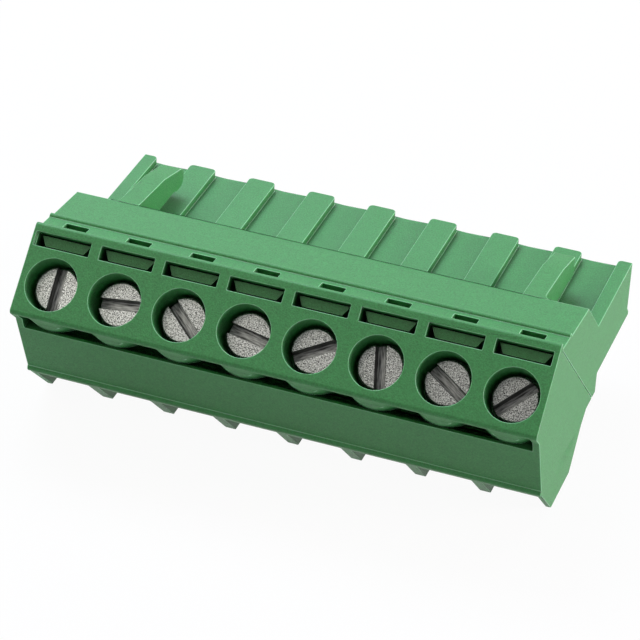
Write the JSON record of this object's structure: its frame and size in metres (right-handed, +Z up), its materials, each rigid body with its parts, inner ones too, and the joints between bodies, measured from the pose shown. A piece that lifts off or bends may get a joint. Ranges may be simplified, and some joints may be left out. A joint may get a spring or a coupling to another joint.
{
  "type": "pluggable terminal block",
  "caption": "Green plug-in terminal block with a row of angled screw clamps for wires, spring contacts for header pins and two latch arms.",
  "frame": {"origin": "mid-length, on the line of the header's pins, in the plane of the mating rim", "axes": "+X along the row from position 1 to position 8, +Y the way the plug goes into its header, +Z up, away from the wire entries"},
  "size_m": [0.0406, 0.0262, 0.0154],
  "materials": {
    "housing_plastic": "fine moulded grain, matt green polyamide",
    "screw_steel": "zinc plated, dull and grainy",
    "cage_steel": "zinc plated steel",
    "contact_metal": "tin plated copper alloy"
  },
  "bodies": {
    "housing": {"plug_housing": "housing_plastic", "clamp_housing": "housing_plastic", "contact_1": "contact_metal", "contact_2": "contact_metal", "contact_3": "contact_metal", "contact_4": "contact_metal", "contact_5": "contact_metal", "contact_6": "contact_metal", "contact_7": "contact_metal", "contact_8": "contact_metal"},
    "screw_1": {"screw_1": "screw_steel"},
    "screw_2": {"screw_2": "screw_steel"},
    "screw_3": {"screw_3": "screw_steel"},
    "screw_4": {"screw_4": "screw_steel"},
    "screw_5": {"screw_5": "screw_steel"},
    "screw_6": {"screw_6": "screw_steel"},
    "screw_7": {"screw_7": "screw_steel"},
    "screw_8": {"screw_8": "screw_steel"},
    "cage_1": {"clamp_cage_1": "cage_steel"},
    "cage_2": {"clamp_cage_2": "cage_steel"},
    "cage_3": {"clamp_cage_3": "cage_steel"},
    "cage_4": {"clamp_cage_4": "cage_steel"},
    "cage_5": {"clamp_cage_5": "cage_steel"},
    "cage_6": {"clamp_cage_6": "cage_steel"},
    "cage_7": {"clamp_cage_7": "cage_steel"},
    "cage_8": {"clamp_cage_8": "cage_steel"}
  },
  "joints": [
    {"name": "screw_1_turn", "type": "hinge", "parent": "housing", "child": "screw_1", "pos_m": [-0.01778, -0.02385, 0.0049], "axis": [0, 0.7071, -0.7071], "range_deg": [0, 1800]},
    {"name": "screw_2_turn", "type": "hinge", "parent": "housing", "child": "screw_2", "pos_m": [-0.0127, -0.02385, 0.0049], "axis": [0, 0.7071, -0.7071], "range_deg": [0, 1800]},
    {"name": "screw_3_turn", "type": "hinge", "parent": "housing", "child": "screw_3", "pos_m": [-0.00762, -0.02385, 0.0049], "axis": [0, 0.7071, -0.7071], "range_deg": [0, 1800]},
    {"name": "screw_4_turn", "type": "hinge", "parent": "housing", "child": "screw_4", "pos_m": [-0.00254, -0.02385, 0.0049], "axis": [0, 0.7071, -0.7071], "range_deg": [0, 1800]},
    {"name": "screw_5_turn", "type": "hinge", "parent": "housing", "child": "screw_5", "pos_m": [0.00254, -0.02385, 0.0049], "axis": [0, 0.7071, -0.7071], "range_deg": [0, 1800]},
    {"name": "screw_6_turn", "type": "hinge", "parent": "housing", "child": "screw_6", "pos_m": [0.00762, -0.02385, 0.0049], "axis": [0, 0.7071, -0.7071], "range_deg": [0, 1800]},
    {"name": "screw_7_turn", "type": "hinge", "parent": "housing", "child": "screw_7", "pos_m": [0.0127, -0.02385, 0.0049], "axis": [0, 0.7071, -0.7071], "range_deg": [0, 1800]},
    {"name": "screw_8_turn", "type": "hinge", "parent": "housing", "child": "screw_8", "pos_m": [0.01778, -0.02385, 0.0049], "axis": [0, 0.7071, -0.7071], "range_deg": [0, 1800]},
    {"name": "cage_1_rise", "type": "slide", "parent": "housing", "child": "cage_1", "axis": [0, -0.7071, 0.7071], "range_m": [0, 0.0025]},
    {"name": "cage_2_rise", "type": "slide", "parent": "housing", "child": "cage_2", "axis": [0, -0.7071, 0.7071], "range_m": [0, 0.0025]},
    {"name": "cage_3_rise", "type": "slide", "parent": "housing", "child": "cage_3", "axis": [0, -0.7071, 0.7071], "range_m": [0, 0.0025]},
    {"name": "cage_4_rise", "type": "slide", "parent": "housing", "child": "cage_4", "axis": [0, -0.7071, 0.7071], "range_m": [0, 0.0025]},
    {"name": "cage_5_rise", "type": "slide", "parent": "housing", "child": "cage_5", "axis": [0, -0.7071, 0.7071], "range_m": [0, 0.0025]},
    {"name": "cage_6_rise", "type": "slide", "parent": "housing", "child": "cage_6", "axis": [0, -0.7071, 0.7071], "range_m": [0, 0.0025]},
    {"name": "cage_7_rise", "type": "slide", "parent": "housing", "child": "cage_7", "axis": [0, -0.7071, 0.7071], "range_m": [0, 0.0025]},
    {"name": "cage_8_rise", "type": "slide", "parent": "housing", "child": "cage_8", "axis": [0, -0.7071, 0.7071], "range_m": [0, 0.0025]}
  ],
  "couplings": [
    {"joint": "screw_1_turn", "follows": "cage_1_rise", "rad_per_m": 12566},
    {"joint": "screw_2_turn", "follows": "cage_2_rise", "rad_per_m": 12566},
    {"joint": "screw_3_turn", "follows": "cage_3_rise", "rad_per_m": 12566},
    {"joint": "screw_4_turn", "follows": "cage_4_rise", "rad_per_m": 12566},
    {"joint": "screw_5_turn", "follows": "cage_5_rise", "rad_per_m": 12566},
    {"joint": "screw_6_turn", "follows": "cage_6_rise", "rad_per_m": 12566},
    {"joint": "screw_7_turn", "follows": "cage_7_rise", "rad_per_m": 12566},
    {"joint": "screw_8_turn", "follows": "cage_8_rise", "rad_per_m": 12566}
  ]
}
